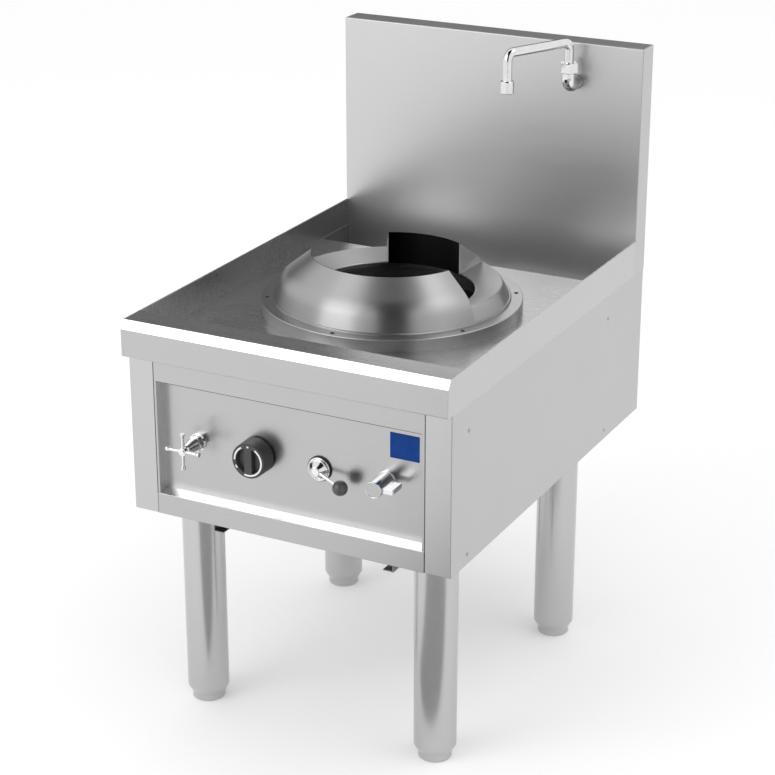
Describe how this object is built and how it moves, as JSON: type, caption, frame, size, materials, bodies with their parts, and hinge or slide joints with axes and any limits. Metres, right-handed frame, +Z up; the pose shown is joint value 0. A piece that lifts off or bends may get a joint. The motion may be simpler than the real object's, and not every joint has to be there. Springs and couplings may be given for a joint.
{
  "type": "wok range",
  "caption": "Free-standing gas wok range with a sunken worktop, a lift-off wok ring, a splashback with a swivel spout, and round legs with screw feet.",
  "frame": {"origin": "on the floor, under the centre of the whole range", "axes": "+X to the right seen from the front, +Y from the front to the back, +Z up"},
  "size_m": [0.65, 0.915, 1.203],
  "materials": {
    "satin_steel": "satin brushed stainless sheet",
    "leg_steel": "satin stainless tube",
    "ring_steel": "dark satin spun steel",
    "chamber_steel": "heat-stained steel",
    "frame_steel": "mill finish steel",
    "zinc_steel": "bright zinc",
    "cast_iron": "rough cast, black",
    "firebrick": "sooty refractory clay",
    "brass": "turned brass",
    "copper": "drawn copper pipe",
    "chrome": "polished chrome plate",
    "knob_plastic": "black phenolic",
    "gasket_rubber": "black rubber",
    "blue_enamel": "plain blue enamel plate"
  },
  "bodies": {
    "base": {"burner_feed_pipe": "copper", "burner_head": "cast_iron", "burner_support": "frame_steel", "collar_screws": "zinc_steel", "combustion_chamber": "chamber_steel", "control_panel": "satin_steel", "cross_bonnet": "chrome", "cross_rails": "frame_steel", "cross_valve": "brass", "drain_pipe": "frame_steel", "drain_strainer": "satin_steel", "faucet_elbow": "chrome", "faucet_feed_pipe": "copper", "faucet_nut": "chrome", "firebrick_lining": "firebrick", "front_valance": "satin_steel", "gas_injector": "brass", "gas_link_pipe": "copper", "gas_supply_pipe": "copper", "gas_valve": "brass", "left_side_panel": "satin_steel", "leg_bolts": "zinc_steel", "leg_front_left": "leg_steel", "leg_front_right": "leg_steel", "leg_rear_left": "leg_steel", "leg_rear_right": "leg_steel", "lever_base": "chrome", "lever_gasket": "gasket_rubber", "mixing_tube": "cast_iron", "name_plate": "blue_enamel", "pilot_burner": "copper", "rear_panel": "satin_steel", "regulator_valve": "brass", "right_side_panel": "satin_steel", "ring_collar": "ring_steel", "side_panel_screws": "zinc_steel", "side_rails": "frame_steel", "splashback": "satin_steel", "splashback_cover": "satin_steel", "tap_collar": "chrome", "tap_valve": "brass", "thermocouple": "copper", "tray_runners": "frame_steel", "water_link_pipe": "copper", "water_supply_pipe": "copper", "worktop_deck": "satin_steel"},
    "wok_ring": {"wok_ring": "ring_steel"},
    "drip_tray": {"drip_tray": "satin_steel"},
    "cross_handle": {"cross_handle": "chrome"},
    "gas_spindle": {"gas_spindle": "zinc_steel"},
    "gas_knob": {"gas_knob": "knob_plastic"},
    "ball_lever": {"ball_lever": "chrome"},
    "tap_handle": {"tap_handle": "chrome"},
    "swivel_spout": {"swivel_spout": "chrome", "spout_nozzle": "chrome"},
    "foot_front_left": {"foot_front_left": "leg_steel"},
    "foot_front_right": {"foot_front_right": "leg_steel"},
    "foot_rear_left": {"foot_rear_left": "leg_steel"},
    "foot_rear_right": {"foot_rear_right": "leg_steel"}
  },
  "joints": [
    {"name": "wok_ring_lift", "type": "slide", "parent": "base", "child": "wok_ring", "axis": [0, 0, 1], "range_m": [0, 0.08]},
    {"name": "drip_tray_pull", "type": "slide", "parent": "base", "child": "drip_tray", "axis": [0, -1, 0], "range_m": [0, 0.4]},
    {"name": "cross_handle_turn", "type": "hinge", "parent": "base", "child": "cross_handle", "pos_m": [-0.196, -0.4525, 0.575], "axis": [0, -1, 0], "range_deg": [0, 720]},
    {"name": "gas_knob_push", "type": "slide", "parent": "base", "child": "gas_spindle", "axis": [0, 1, 0], "range_m": [0, 0.003], "stiffness_N_per_m": 1500, "springref_m": -0.003},
    {"name": "gas_knob_turn", "type": "hinge", "parent": "gas_spindle", "child": "gas_knob", "pos_m": [-0.07, -0.4225, 0.575], "axis": [0, -1, 0], "range_deg": [0, 270]},
    {"name": "ball_lever_swing", "type": "hinge", "parent": "base", "child": "ball_lever", "pos_m": [0.056, -0.4125, 0.573], "axis": [0, -1, 0], "range_deg": [0, 90]},
    {"name": "tap_handle_swing", "type": "hinge", "parent": "base", "child": "tap_handle", "pos_m": [0.19, -0.4225, 0.58], "axis": [0, -1, 0], "range_deg": [0, 90]},
    {"name": "spout_swivel", "type": "hinge", "parent": "base", "child": "swivel_spout", "pos_m": [0.187, 0.3675, 1.15], "axis": [0, 0, 1], "range_deg": [-60, 110]},
    {"name": "foot_front_left_screw", "type": "slide", "parent": "base", "child": "foot_front_left", "axis": [0, 0, 1], "range_m": [-0.02, 0.008]},
    {"name": "foot_front_right_screw", "type": "slide", "parent": "base", "child": "foot_front_right", "axis": [0, 0, 1], "range_m": [-0.02, 0.008]},
    {"name": "foot_rear_left_screw", "type": "slide", "parent": "base", "child": "foot_rear_left", "axis": [0, 0, 1], "range_m": [-0.02, 0.008]},
    {"name": "foot_rear_right_screw", "type": "slide", "parent": "base", "child": "foot_rear_right", "axis": [0, 0, 1], "range_m": [-0.02, 0.008]}
  ]
}
